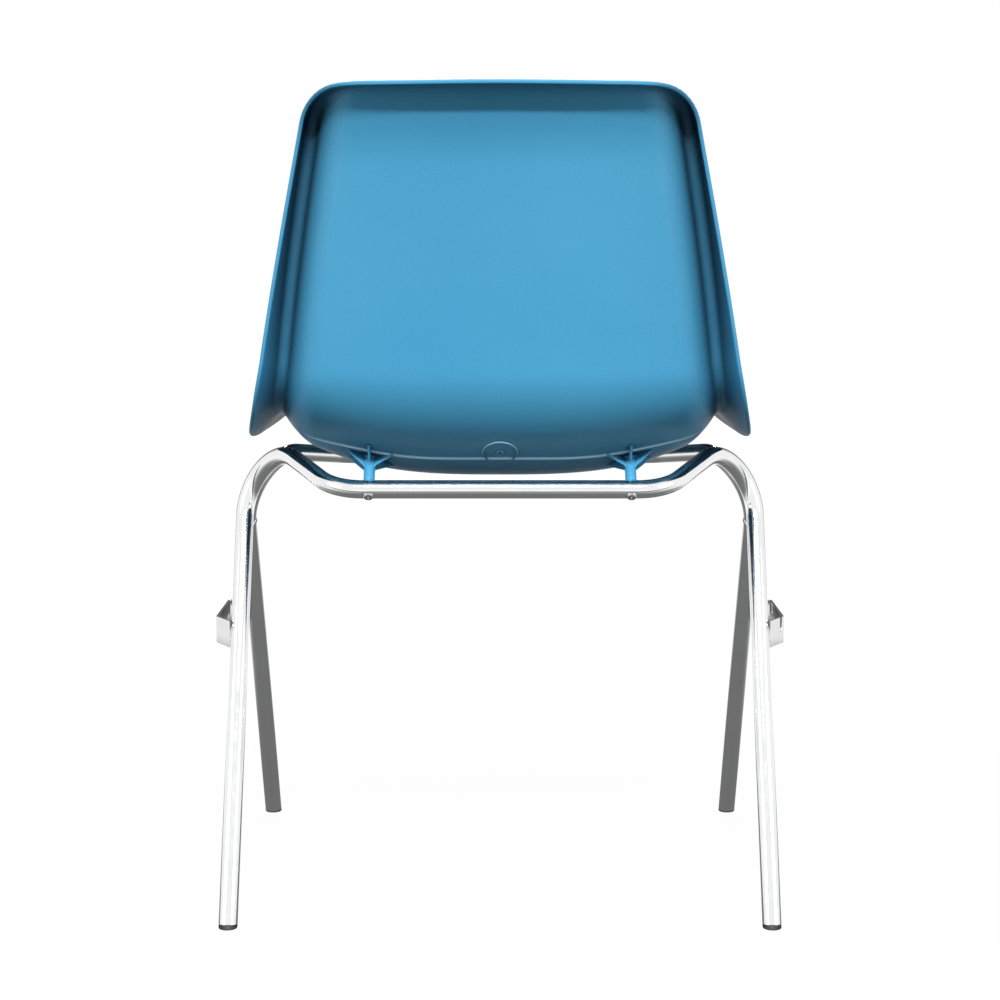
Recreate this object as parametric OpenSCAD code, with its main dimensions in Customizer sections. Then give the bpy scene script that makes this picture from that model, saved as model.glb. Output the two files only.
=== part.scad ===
// Four-legged stacking contract chair: a one-piece moulded bucket shell on two
// bent steel tubes, with plastic foot plugs and linking brackets on both sides.
// The sitter faces -Y, +X is the sitter's left, and the feet stand on z = 0.

/* [Frame tubes] */
// Outside diameter of both frame tubes
tube_d = 18; // [16:0.5:20]
// Wall of both frame tubes
tube_wall = 1.5; // [1:0.1:2.5]
// Centreline radius of every tube bend
bend_r = 50; // [44:1:54]
// Distance between the left and right legs, axis to axis
leg_spacing = 518; // [500:1:530]
// Distance between the front and rear feet, axis to axis on the floor
foot_depth = 460; // [430:1:490]
// Distance from the rear feet forward to the arch, where the tubes are welded
arch_setback = 208; // [190:1:226]
// Gap between the two tubes at the arch
arch_gap = 0.4; // [0.2:0.1:0.8]
// Height at which the rear leg's axis would meet the axis of its slope
rear_corner_z = 462; // [450:1:474]
// Height at which the front leg's axis would meet the axis of its slope
front_corner_z = 441; // [430:1:452]

/* [Seat rails] */
// Height of the rear rail's axis
rear_rail_z = 410; // [400:1:414]
// Height of the front rail's axis
front_rail_z = 420; // [410:1:424]
// Distance from the arch back to the rear rail
rear_rail_back = 118; // [110:1:126]
// Distance from the arch forward to the front rail
front_rail_ahead = 130; // [120:1:140]
// Length of each rail between the corners of its axis
rail_length = 322; // [312:1:330]

/* [Foot plugs] */
// Thickness of a plug under the middle of its tube
sole_t = 3.3; // [3:0.1:5]
// Angle between the cut tube end and the floor
end_tilt = 10; // [4:1:12]
// Length of the plug's stem inside the tube
stem_length = 22; // [14:1:30]
// Gap between the stem and the tube's bore, on the radius
stem_gap = 0.15; // [0.1:0.05:0.3]
// Chamfer round the plug's sole
sole_chamfer = 1; // [0.5:0.1:1.4]

/* [Linking brackets] */
// Height of the strip's lower edge above the floor
bracket_z = 247; // [220:1:280]
// Width of the strip, measured upright
bracket_h = 27; // [22:1:32]
// Thickness of the strip
bracket_t = 2.5; // [2:0.1:3]
// Distance from the leg's axis out to the strip's outer face
bracket_reach = 27; // [24:0.5:32]
// Distance along the chair that each sloping end takes
bracket_ramp = 28; // [22:1:34]
// Inside radius of the strip's two bends
bracket_bend_r = 3; // [2:0.5:5]
// Width of the hook slots in the right-hand bracket
slot_w = 4; // [3:0.25:5]
// Depth of the hook slots from the strip's upper edge
slot_depth = 15; // [10:1:18]
// Gap between the strip and the leg that it is welded to
bracket_gap = 0.3; // [0.1:0.1:0.5]

/* [Arch welds] */
// Diameter of the weld bead in the groove between the tubes
bead_d = 8; // [7:0.5:9]
// Length of the weld bead
bead_length = 22; // [14:1:30]
// Gap between the bead and the tubes
bead_gap = 0.1; // [0.05:0.05:0.2]

/* [Shell outline] */
// Height of the underside of the seat at its lowest point
seat_under_z = 416.5; // [416:0.5:422]
// Distance from the arch forward to the start of the seat's front edge
seat_front = 256; // [240:1:270]
// Slope of the seat up to the front
seat_slope = 5.4; // [3:0.2:8]
// Radius of the curve between seat and back
lumbar_r = 135; // [120:1:150]
// Distance from the arch back to the start of the back's top edge
back_top_y = 221; // [210:1:234]
// Height of the start of the back's top edge
back_top_z = 785; // [750:1:820]
// Lean of the back from upright
back_lean = 12; // [9:0.5:15]
// Width of the seat at its front edge, between the crests of the sides
front_w = 380; // [360:2:400]
// Width of the shell at the wings, between the crests of the sides
wing_w = 428; // [420:2:440]
// Width of the back at its top edge, between the crests of the sides
top_w = 322; // [310:2:340]
// Distance from the front edge along the seat to the wings
wing_at = 330; // [310:5:350]
// Rounding of the outline at the wings
wing_round = 2; // [1:0.5:6]
// Bow of the back's sides from the wings to the top: 1 is straight
side_bow = 1.5; // [1.2:0.1:1.8]
// Radius of the front corners
front_corner_r = 55; // [40:1:70]
// Radius of the top corners
top_corner_r = 38; // [28:1:44]
// Rise of the top edge in the middle of the back
top_crown = 5; // [0:0.5:7]

/* [Shell section] */
// Thickness of the shell
shell_t = 4; // [3:0.25:5]
// Rise of the seat's sides from the gentle dish
seat_dish = 45; // [36:1:50]
// Share of the seat's dish that is left at the front edge
front_dish = 0.35; // [0.2:0.05:0.6]
// Rise of the back's sides from the gentle dish
back_dish = 20; // [14:1:26]
// Rise of the seat's sides in the upturned strip along the edge
seat_upturn = 14; // [10:1:20]
// Rise of the back's sides in the upturned strip along the edge
back_upturn = 24; // [18:1:28]
// Backward curl of the back's top edge
top_curl = 12; // [8:1:16]
// Width of the strip that curls back along the top edge
top_curl_w = 70; // [56:2:84]
// Width of the upturned strip
upturn_w = 32; // [26:1:40]
// Radius of the rolled edge round the sides and the top
roll_r = 7; // [6:0.5:9]
// Radius of the rolled front edge of the seat
front_roll_r = 15; // [12:1:18]
// Angle of the turned-down flange, below the seat or behind the back
flange_angle = 80; // [70:1:85]
// Length of the turned-down flange
flange_length = 10; // [8:0.5:12]
// Angle of the flange at the wings
wing_flange_angle = 42; // [36:1:50]
// Length of the flange at the wings
wing_flange_length = 32; // [26:1:36]

/* [Bosses and screws] */
// Distance between the left and right screws
screw_spacing = 256; // [230:1:270]
// Angle of the bosses and screws from upright, leaning forward as they rise
draw_angle = 45; // [38:1:50]
// Diameter of a boss
boss_d = 11; // [10:0.5:13]
// Gap between the end of a boss and the rail
saddle_gap = 0.3; // [0.1:0.1:0.5]
// Number of ribs round each boss
rib_count = 6; // [4:1:8]
// Reach of the ribs from the boss's axis
rib_reach = 27; // [20:1:30]
// Thickness of the ribs
rib_t = 2.4; // [1.6:0.2:3]
// Height of the ribs where they meet the boss
rib_root = 14; // [10:0.5:18]
// Diameter of the screw's shank
screw_d = 4.8; // [4:0.2:5]
// Diameter of the screw's head
head_d = 10; // [9:0.5:11]
// Height of the screw's head
head_h = 2.8; // [2.2:0.2:3.4]
// Length of the screw below its head
screw_length = 27; // [24:1:28]
// Gap round the screw in the tube and in the boss, on the radius
screw_gap = 0.2; // [0.1:0.05:0.4]
// Depth of the flat that the head sits on, below the tube's surface
flat_depth = 1; // [0.6:0.1:1.4]

/* [Hidden] */

$fn = 96;
// A length well past the whole chair, for cutting away half spaces
far = 2000;
// Overlap of cutting shapes past the faces that they cut
past = 1;
// Length of a tube's straights inside its bends, and how much fatter the bends are
lap = 1.5;
bend_swell = 0.05;

tube_r = tube_d / 2;
leg_x = leg_spacing / 2;
rail_x = rail_length / 2;

function unit(v) = v / norm(v);
function mix(a, b, share) = a + (b - a) * share;
function clamp(v) = min(1, max(0, v));
function smooth(v) = let (c = clamp(v)) c * c * (3 - 2 * c);
function flip_y(p) = [p[0], -p[1], p[2]];
function flip_x(p) = [-p[0], p[1], p[2]];

// Bends of a tube's axis, as arcs that round off the corners of a line of points

function turn_at(p, i) = acos(unit(p[i] - p[i - 1]) * unit(p[i + 1] - p[i]));
function cut_at(p, i) = bend_r * tan(turn_at(p, i) / 2);
function arc_start(p, i) = p[i] - unit(p[i] - p[i - 1]) * cut_at(p, i);
function arc_end(p, i) = p[i] + unit(p[i + 1] - p[i]) * cut_at(p, i);
function arc_centre(p, i) =
    let (inward = unit(unit(p[i - 1] - p[i]) + unit(p[i + 1] - p[i])))
    p[i] + inward * bend_r / cos(turn_at(p, i) / 2);

// One tube from a foot up to the arch and down to the middle of its rail, with
// y counted from the arch towards the tube's own feet
function half_line(foot_y, corner_y, corner_z, rail_y, rail_z) = [
    [leg_x, foot_y, 0],
    [leg_x, corner_y, corner_z],
    [rail_x, rail_y, rail_z],
    [0, rail_y, rail_z]
];
// Least y that the axis reaches in the arch bend
function arch_reach(p) =
    let (
        c = arc_centre(p, 1),
        across = (arc_start(p, 1) - c) / bend_r,
        along = unit(p[1] - p[0])
    )
    c[1] - bend_r * norm([across[1], along[1]]);
// Corner's y that brings the arch bend to half the tubes' distance, by repetition
function corner_for(foot_y, corner_z, rail_y, rail_z, guess = -30, rounds = 12) =
    rounds == 0 ? guess :
    let (
        reach = arch_reach(half_line(foot_y, guess, corner_z, rail_y, rail_z)),
        error = reach - (tube_d + arch_gap) / 2 - bend_swell
    )
    corner_for(foot_y, corner_z, rail_y, rail_z, guess - error, rounds - 1);

rear_corner_y = corner_for(arch_setback, rear_corner_z, rear_rail_back, rear_rail_z);
front_corner_y = corner_for(
    foot_depth - arch_setback, front_corner_z, front_rail_ahead, front_rail_z);
rear_half = half_line(
    arch_setback, rear_corner_y, rear_corner_z, rear_rail_back, rear_rail_z);
front_half = [for (p = half_line(
    foot_depth - arch_setback, front_corner_y, front_corner_z,
    front_rail_ahead, front_rail_z)) flip_y(p)];

// The same lines from the middle of the rail down to the foot
rear_run = [for (i = [3 : -1 : 0]) rear_half[i]];
front_run = [for (i = [3 : -1 : 0]) front_half[i]];

// A round bar from one point to another
module bar(from, to, r) {
    run = to - from;
    translate(from)
        rotate([0, acos(run[2] / norm(run)), atan2(run[1], run[0])])
            cylinder(h = norm(run), r = r);
}

// A tube is laid out step by step, each step in the frame that the last one ends in:
// local z runs along the axis and local x points to the inside of the next bend.

function heading(p, i) = unit(p[i + 1] - p[i]);
function inside_of(p, i) =
    let (before = heading(p, i - 1), after = heading(p, i))
    unit(after - (after * before) * before);
// Length of the straight that leads from corner i to corner i + 1
function straight(p, i) =
    norm(p[i + 1] - p[i]) - (i > 0 ? cut_at(p, i) : 0)
        - (i < len(p) - 2 ? cut_at(p, i + 1) : 0);
// Turn about the axis from the plane of the bend at corner i to that of the next one
function twist_at(p, i) =
    let (
        along = heading(p, i),
        before = cross(cross(heading(p, i - 1), inside_of(p, i)), along),
        after = inside_of(p, i + 1)
    )
    atan2(cross(before, after) * along, before * after);

// Moves to the end of a bend, turning about the bend's own axis
module past_bend(turn) {
    translate([bend_r, 0, 0])
        rotate([0, turn, 0])
            translate([-bend_r, 0, 0])
                children();
}

// A bend that is made a little long and cut square at its end. The seam is the
// line where the round surface closes, and it runs on from piece to piece.
module elbow(turn, r, seam) {
    spare = 6;
    difference() {
        translate([bend_r, 0, 0])
            rotate([90, 0, 180])
                rotate_extrude(angle = turn + spare)
                    translate([bend_r, 0])
                        rotate(180 - seam)
                            circle(r = r);
        past_bend(turn)
            translate([-2 * r, -2 * r, 0])
                cube([4 * r, 4 * r, 2 * r]);
    }
}

// The bend at corner i + 1 and what follows it, from the start of straight i. The
// bends are a hair fatter than the straights, whose ends lie inside them.
module tube_from(p, i, r, seam) {
    twist = i > 0 ? twist_at(p, i) : 0;
    turn = turn_at(p, i + 1);
    next_seam = seam - twist;
    more_bends = i + 1 < len(p) - 2;
    translate([0, 0, straight(p, i)])
        rotate([0, 0, twist]) {
            elbow(turn, r + bend_swell, next_seam);
            past_bend(turn) {
                translate([0, 0, -lap])
                    rotate([0, 0, next_seam])
                        cylinder(h = straight(p, i + 1) + lap + (more_bends ? lap : 0),
                            r = r);
                if (more_bends) tube_from(p, i + 1, r, next_seam);
            }
        }
}

module from_rail(p) {
    z = heading(p, 0);
    x = inside_of(p, 1);
    y = cross(z, x);
    multmatrix([
        [x[0], y[0], z[0], p[0][0]],
        [x[1], y[1], z[1], p[0][1]],
        [x[2], y[2], z[2], p[0][2]],
        [0, 0, 0, 1]
    ])
        children();
}

// Solid form of one side of a bent tube, from the end of its straight rail to its foot
module half_bar(p, r) from_rail(p) tube_from(p, 0, r, 0);

module bent_bar(p, r) {
    from_rail(p) cylinder(h = 2 * (straight(p, 0) + lap), r = r, center = true);
    half_bar(p, r);
    mirror([1, 0, 0]) half_bar(p, r);
}

module bent_tube(p) {
    difference() {
        bent_bar(p, tube_r);
        bent_bar(p, tube_r - tube_wall);
    }
}

// The screws stay on the straight part of both rails, heads and all
straight_rail = min(straight(rear_run, 0), straight(front_run, 0));
screw_x = min(screw_spacing / 2, straight_rail - head_d / 2 - screw_gap - 0.1);

// Everything under the sloping end of a leg: side is 1 for a rear leg, -1 for a front one
module below_tube_end(foot, side) {
    translate([foot[0], foot[1], sole_t])
        rotate([side * end_tilt, 0, 0])
            translate([-far / 2, -far / 2, -far])
                cube([far, far, far]);
}

// Shell surface: b runs along the middle from the front edge to the top edge, and
// a runs sideways. The profile is a straight seat, an arc and a straight back.

seat_dir = [cos(seat_slope), -sin(seat_slope)];
back_dir = [sin(back_lean), cos(back_lean)];
lumbar_turn = 90 - back_lean + seat_slope;
arc_length = lumbar_r * lumbar_turn * PI / 180;
back_end = [back_top_y, back_top_z];
// Centre of the arc: lumbar_r from the lowest point and from the back's line
lumbar_centre_z = seat_under_z + lumbar_r;
lumbar_centre_y = back_top_y
    - (back_top_z - lumbar_centre_z) * tan(back_lean) - lumbar_r / cos(back_lean);
lumbar_centre = [lumbar_centre_y, lumbar_centre_z];
function profile_normal(slope) = [-sin(slope), cos(slope)];
seat_end = lumbar_centre - lumbar_r * profile_normal(-seat_slope);
back_start = lumbar_centre - lumbar_r * profile_normal(90 - back_lean);
seat_length = (seat_end[0] + seat_front) / cos(seat_slope);
back_length = norm(back_end - back_start);
profile_length = seat_length + arc_length + back_length;

function slope_at(b) =
    -seat_slope + clamp((b - seat_length) / arc_length) * lumbar_turn;
function profile_point(b) =
    b < seat_length ? seat_end - seat_dir * (seat_length - b) :
    b > seat_length + arc_length
        ? back_start + back_dir * (b - seat_length - arc_length) :
    lumbar_centre - lumbar_r * profile_normal(slope_at(b));

// Half width between the crests: a straight taper and a bowed one that meet in a
// rounded wing
function half_width(b) =
    let (
        up_back = (b - wing_at) / (profile_length - wing_at),
        rising = mix(front_w, wing_w, b / wing_at) / 2,
        falling = mix(wing_w, top_w, up_back < 0 ? up_back : pow(up_back, side_bow)) / 2,
        gap = rising - falling
    )
    (rising + falling - sqrt(gap * gap + 4 * wing_round * wing_round)) / 2;
function taper(b) = (half_width(b + 1) - half_width(b - 1)) / 2;

// Height of the sides over the middle, measured square to the profile
function on_back(b) = smooth((b - seat_length) / arc_length);
function seat_fade(b) = smooth(b / 180);
function side_rise(a, b) =
    let (
        w = half_width(b),
        dish = mix(seat_dish * mix(front_dish, 1, seat_fade(b)), back_dish, on_back(b)),
        upturn = mix(seat_upturn * mix(0.3, 1, seat_fade(b)), back_upturn, on_back(b)),
        near_side = clamp((abs(a) - (w - upturn_w)) / upturn_w),
        near_top = clamp((b - (profile_length - top_curl_w)) / top_curl_w)
    )
    dish * pow(abs(a) / w, 3) + upturn * pow(near_side, 2)
        - top_curl * pow(near_top, 2);
function crowned(a, b) =
    b + top_crown * (1 - pow(a / half_width(b), 2))
        * smooth((b - profile_length + 120) / 120);
function surface_point(a, b) =
    let (
        bc = crowned(a, b),
        p = profile_point(bc),
        n = profile_normal(slope_at(bc)),
        rise = side_rise(a, b)
    )
    [a, p[0] + n[0] * rise, p[1] + n[1] * rise];
// Unit vector from the surface to the sitter's side
function surface_normal(a, b) =
    let (
        step = 0.5,
        across = surface_point(a + step, b) - surface_point(a - step, b),
        along = surface_point(a, b + step) - surface_point(a, b - step)
    )
    unit(cross(across, along));

// Rows of the shell's mesh: [b, narrowing of the half width, outline's normal]
corner_steps = 5;
side_steps = 22;
shell_rows = concat(
    [for (k = [0 : corner_steps]) let (g = 90 * k / corner_steps)
        [front_corner_r * (1 - cos(g)), front_corner_r * (1 - sin(g)),
         sin(g), -cos(g)]],
    [for (k = [1 : side_steps - 1])
        [mix(front_corner_r, profile_length - top_corner_r, k / side_steps), 0, 1, 0]],
    [for (k = [corner_steps : -1 : 0]) let (g = 90 * k / corner_steps)
        [profile_length - top_corner_r * (1 - cos(g)), top_corner_r * (1 - sin(g)),
         sin(g), cos(g)]]
);
// Columns as shares of the half width, closer together near the sides
half_columns = [0.16, 0.32, 0.47, 0.6, 0.71, 0.8, 0.87, 0.92, 0.96, 1];
column_count = 2 * len(half_columns) + 1;
function column_share(j) =
    let (k = j - len(half_columns))
    k == 0 ? 0 : sign(k) * half_columns[abs(k) - 1];

row_count = len(shell_rows);
function row_half(i) = half_width(shell_rows[i][0]) - shell_rows[i][1];
function row_normal(i) =
    let (r = shell_rows[i])
    unit([r[2], r[3] - taper(r[0]) * r[2]]);

// The edge loop, as [row, column], anticlockwise from the sitter's side
edge_loop = concat(
    [for (j = [0 : column_count - 1]) [0, j]],
    [for (i = [1 : row_count - 1]) [i, column_count - 1]],
    [for (j = [column_count - 2 : -1 : 0]) [row_count - 1, j]],
    [for (i = [row_count - 2 : -1 : 1]) [i, 0]]
);
loop_count = len(edge_loop);

// Outward direction of the outline in the flat a, b plane at a loop point
function outward(k) =
    let (i = edge_loop[k][0], j = edge_loop[k][1])
    j == column_count - 1 ? row_normal(i) :
    j == 0 ? [-row_normal(i)[0], row_normal(i)[1]] :
    i == 0 ? [0, -1] : [0, 1];
// Share of the wing in the flange: 1 at the wings, 0 at the front and the top
function wing_share(b) =
    b < wing_at ? smooth((b - 60) / (wing_at - 60))
        : 1 - clamp((b - wing_at) / (profile_length - 40 - wing_at));
function edge_roll(b) = mix(front_roll_r, roll_r, smooth(b / 120));

roll_steps = 4;
// Ring k of the rolled edge at loop point m; ring roll_steps + 1 ends the flange.
// Offset thickens towards the sitter's side.
function rim_point(m, k, offset) =
    let (
        i = edge_loop[m][0],
        a = row_half(i) * column_share(edge_loop[m][1]),
        b = shell_rows[i][0],
        o = outward(m),
        slope = slope_at(crowned(a, b)),
        out3 = [o[0], o[1] * cos(slope), o[1] * sin(slope)],
        up3 = [0, -sin(slope), cos(slope)],
        start = surface_point(a, b),
        climb = (side_rise(a, b) - side_rise(a - o[0] / 2, b - o[1] / 2)) * 2,
        phi = atan(climb),
        share = wing_share(b) * abs(o[0]),
        down = mix(flange_angle, wing_flange_angle, share),
        flange = mix(flange_length, wing_flange_length, share),
        r = edge_roll(b),
        angle = phi - (phi + down) * min(k, roll_steps) / roll_steps,
        arc = start + r * ((sin(phi) - sin(angle)) * out3 + (cos(angle) - cos(phi)) * up3),
        end = k > roll_steps ? arc + flange * (cos(down) * out3 - sin(down) * up3) : arc
    )
    end + offset * (cos(angle) * up3 - sin(angle) * out3);

function skin_point(i, j, offset) =
    let (a = row_half(i) * column_share(j), b = shell_rows[i][0])
    surface_point(a, b) + offset * surface_normal(a, b);

function skin_points(offset) = concat(
    [for (i = [0 : row_count - 1]) for (j = [0 : column_count - 1])
        skin_point(i, j, offset)],
    [for (k = [1 : roll_steps + 1]) for (m = [0 : loop_count - 1])
        rim_point(m, k, offset)]
);
grid_size = row_count * column_count;
skin_size = grid_size + (roll_steps + 1) * loop_count;
function loop_index(k, m) =
    k == 0 ? edge_loop[m][0] * column_count + edge_loop[m][1]
        : grid_size + (k - 1) * loop_count + m;
// Two triangles of a four-sided patch
function patch(p, q, r, s) = [[p, q, r], [p, r, s]];
function flatten(lists) = [for (l = lists) for (item = l) item];
skin_faces = flatten(concat(
    [for (i = [0 : row_count - 2]) for (j = [0 : column_count - 2])
        let (p = i * column_count + j)
        patch(p, p + 1, p + column_count + 1, p + column_count)],
    [for (k = [0 : roll_steps]) for (m = [0 : loop_count - 1])
        let (next = (m + 1) % loop_count)
        patch(loop_index(k + 1, m), loop_index(k + 1, next),
            loop_index(k, next), loop_index(k, m))]
));
lip_faces = flatten([for (m = [0 : loop_count - 1])
    let (next = (m + 1) % loop_count, k = roll_steps + 1)
    patch(loop_index(k, m), loop_index(k, next),
        skin_size + loop_index(k, next), skin_size + loop_index(k, m))]);

// Under side of the shell, and the same points moved up by the wall
under_points = skin_points(0);
shell_points = concat(under_points, skin_points(shell_t));
shell_faces = concat(
    skin_faces,
    [for (f = skin_faces) [f[0] + skin_size, f[2] + skin_size, f[1] + skin_size]],
    [for (f = lip_faces) [f[0], f[2], f[1]]]
);

// Place along the chair that puts the middle of its footprint at y = 0
rear_plug_edge = arch_setback
    + tube_r * norm(rear_half[1] - rear_half[0]) / rear_corner_z;
front_plug_edge = arch_setback - foot_depth
    - tube_r * norm(front_half[1] - front_half[0]) / front_corner_z;
shell_ys = [for (p = shell_points) p[1]];
place_y = -(max(max(shell_ys), rear_plug_edge)
    + min(min(shell_ys), front_plug_edge)) / 2;

module placed() translate([0, place_y, 0]) children();

// Screw axes: local z rises forward at draw_angle from the middle of a rail

module on_rail(x, rail_y, rail_z) {
    translate([x, rail_y, rail_z]) rotate([draw_angle, 0, 0]) children();
}
up_dir = [0, -sin(draw_angle), cos(draw_angle)];
side_dir = [0, cos(draw_angle), sin(draw_angle)];

// b at which the surface at x is seen from the rail at distance t across the axis
function meet_b(x, base, t, low, high, rounds = 24) =
    rounds == 0 ? (low + high) / 2 :
    let (
        mid = (low + high) / 2,
        across = (surface_point(x, mid) - base) * side_dir
    )
    across < t ? meet_b(x, base, t, mid, high, rounds - 1)
        : meet_b(x, base, t, low, mid, rounds - 1);
// Height of the shell's under side over the rail, along the screw's axis
function shell_height(x, base, t) =
    let (b = meet_b(x, base, t, 0, profile_length))
    (surface_point(x, b) - base) * up_dir;

// Depth to which bosses and ribs sink into the shell's wall
sink = shell_t / 2;

// One rib: a thin plate from the axis out to where it runs into the shell
module rib(x, base, direction) {
    samples = 6;
    foot_h = shell_height(x, base, 0) - rib_root;
    tip_h = shell_height(x + rib_reach * cos(direction), base,
        rib_reach * sin(direction));
    crest = [for (k = [0 : samples])
        let (r = rib_reach * k / samples)
        [r, shell_height(x + r * cos(direction), base, r * sin(direction)) + sink]];
    rotate([0, 0, direction])
        rotate([90, 0, 0])
            translate([0, 0, -rib_t / 2])
                linear_extrude(height = rib_t)
                    polygon(concat(
                        [[0, foot_h], [boss_d / 2, foot_h],
                         [boss_d / 2 + 2, foot_h + 2], [rib_reach, tip_h]],
                        [for (k = [samples : -1 : 0]) crest[k]]));
}

// A boss with its ribs, its saddle over the rail and its blind hole
module boss(x, rail_y, rail_z) {
    base = [x, rail_y, rail_z];
    middle_h = shell_height(x, base, 0);
    // Lean of the shell's under side across the axis, sampled over the boss
    reach = boss_d / 2;
    side_lean = atan((shell_height(x + reach, base, 0)
        - shell_height(x - reach, base, 0)) / boss_d);
    fore_lean = atan((shell_height(x, base, reach)
        - shell_height(x, base, -reach)) / boss_d);
    on_rail(x, rail_y, rail_z)
        difference() {
            union() {
                difference() {
                    cylinder(h = middle_h + boss_d, d = boss_d);
                    translate([0, 0, middle_h + sink])
                        rotate([fore_lean, -side_lean, 0])
                            translate([-boss_d * 2, -boss_d * 2, 0])
                                cube([boss_d * 4, boss_d * 4, boss_d * 4]);
                }
                for (k = [0 : rib_count - 1]) rib(x, base, 90 + k * 360 / rib_count);
            }
            rotate([0, 90, 0])
                cylinder(h = boss_d * 2, r = tube_r + saddle_gap, center = true);
            cylinder(h = screw_length - head_room() + past,
                r = screw_d / 2 + screw_gap);
        }
}
// Distance from the rail's axis down to the flat under the head
function head_room() = tube_r - flat_depth;

module shell() {
    color("steelblue") placed()
        union() {
            polyhedron(points = shell_points, faces = shell_faces, convexity = 8);
            for (side = [-1, 1]) {
                boss(side * screw_x, rear_rail_back, rear_rail_z);
                boss(side * screw_x, -front_rail_ahead, front_rail_z);
            }
        }
}

// Holes and head flat for the two screws of a rail
module rail_holes(rail_y, rail_z) {
    for (side = [-1, 1])
        on_rail(side * screw_x, rail_y, rail_z) {
            cylinder(h = tube_d + 2 * past, r = screw_d / 2 + screw_gap, center = true);
            translate([0, 0, -head_room() - tube_r])
                cylinder(h = tube_r, r = head_d / 2 + screw_gap);
        }
}

module rear_frame_tube() {
    color("silver") placed()
        difference() {
            bent_tube(rear_run);
            for (foot = [rear_half[0], flip_x(rear_half[0])]) below_tube_end(foot, 1);
            rail_holes(rear_rail_back, rear_rail_z);
        }
}

module front_frame_tube() {
    color("silver") placed()
        difference() {
            bent_tube(front_run);
            for (foot = [front_half[0], flip_x(front_half[0])]) below_tube_end(foot, -1);
            rail_holes(-front_rail_ahead, front_rail_z);
        }
}

// Point of an arch bend's axis that lies nearest the other tube
function arch_touch(p, side) =
    let (
        c = arc_centre(p, 1),
        e1 = unit(arc_start(p, 1) - c),
        e2 = unit(p[1] - p[0]),
        w = atan2(-side * e2[1], -side * e1[1])
    )
    c + bend_r * (cos(w) * e1 + sin(w) * e2);
touch = (arch_touch(rear_half, 1) + arch_touch(front_half, -1)) / 2;
// Directions across the tubes, to the outside of the arch, and along them
weld_out = unit([touch[0] - arc_centre(rear_half, 1)[0], 0,
    touch[2] - arc_centre(rear_half, 1)[2]]);
weld_run = cross([0, 1, 0], weld_out);

// Weld bead in the outer groove between the two tubes
module arch_weld() {
    middle = touch + weld_out * tube_r * 0.62;
    color("gainsboro") placed()
        difference() {
            bar(middle - weld_run * bead_length / 2,
                middle + weld_run * bead_length / 2, bead_d / 2);
            half_bar(rear_run, tube_r + bead_gap);
            half_bar(front_run, tube_r + bead_gap);
        }
}
module arch_weld_left() arch_weld();
module arch_weld_right() mirror([1, 0, 0]) arch_weld();

// Place of a leg's axis at a height: p is the half line of its tube
function leg_y(p, z) = mix(p[0][1], p[1][1], z / p[1][2]);
bracket_mid_z = bracket_z + bracket_h / 2;
link_rear_y = leg_y(rear_half, bracket_mid_z);
link_front_y = leg_y(front_half, bracket_mid_z);

// Middle line of the strip in plan, from leg to leg
link_web_x = leg_x + bracket_reach - bracket_t / 2;
link_end_x = leg_x + tube_r + bracket_t / 2;
link_plan = [
    [link_end_x, link_rear_y],
    [link_web_x, link_rear_y - bracket_ramp],
    [link_web_x, link_front_y + bracket_ramp],
    [link_end_x, link_front_y]
];
function plan_dir(i) = unit(link_plan[i + 1] - link_plan[i]);

// The strip's middle line with rounded bends, and the way across it at each point
bend_steps = 6;
link_bend_r = bracket_bend_r + bracket_t / 2;
// The ends run on past the legs' sides and are cut back to fit round them
lead = 6;
function plan_angle(i) = atan2(plan_dir(i)[1], plan_dir(i)[0]);
function link_bend(i) =
    let (
        before = plan_angle(i - 1),
        turn = plan_angle(i) - before,
        cut = link_bend_r * tan(abs(turn) / 2),
        start = link_plan[i] - plan_dir(i - 1) * cut,
        side = sign(turn),
        centre = start + side * link_bend_r * [-sin(before), cos(before)]
    )
    [for (k = [0 : bend_steps]) let (w = before + turn * k / bend_steps)
        [centre - side * link_bend_r * [-sin(w), cos(w)], w]];
link_line = concat(
    [[link_plan[0] - plan_dir(0) * lead, plan_angle(0)]],
    link_bend(1), link_bend(2),
    [[link_plan[3] + plan_dir(2) * lead, plan_angle(2)]]
);
function beside(offset) = [for (q = link_line) q[0] + offset * [-sin(q[1]), cos(q[1])]];
function reversed(list) = [for (k = [len(list) - 1 : -1 : 0]) list[k]];

module link_strip() {
    difference() {
        translate([0, 0, bracket_z])
            linear_extrude(height = bracket_h)
                polygon(concat(beside(-bracket_t / 2), reversed(beside(bracket_t / 2))));
        bar(rear_half[0], arc_start(rear_half, 1), tube_r + bracket_gap);
        bar(front_half[0], arc_start(front_half, 1), tube_r + bracket_gap);
    }
}

module link_bracket_left() {
    color("gainsboro") placed() link_strip();
}

// Open slot across one sloping end of the strip, next to the web
module hook_slot(corner, direction) {
    at = corner + direction * (slot_w / 2 + bracket_t + bracket_bend_r);
    translate([at[0], at[1], bracket_z + bracket_h - slot_depth + slot_w / 2])
        rotate([0, 0, atan2(direction[1], direction[0])]) {
            translate([-slot_w / 2, -bracket_t * 2, 0])
                cube([slot_w, bracket_t * 4, slot_depth]);
            rotate([90, 0, 0])
                cylinder(h = bracket_t * 4, d = slot_w, center = true);
        }
}

module link_bracket_right() {
    color("gainsboro") placed()
        mirror([1, 0, 0])
            difference() {
                link_strip();
                hook_slot(link_plan[1], -plan_dir(0));
                hook_slot(link_plan[2], plan_dir(2));
            }
}

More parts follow.
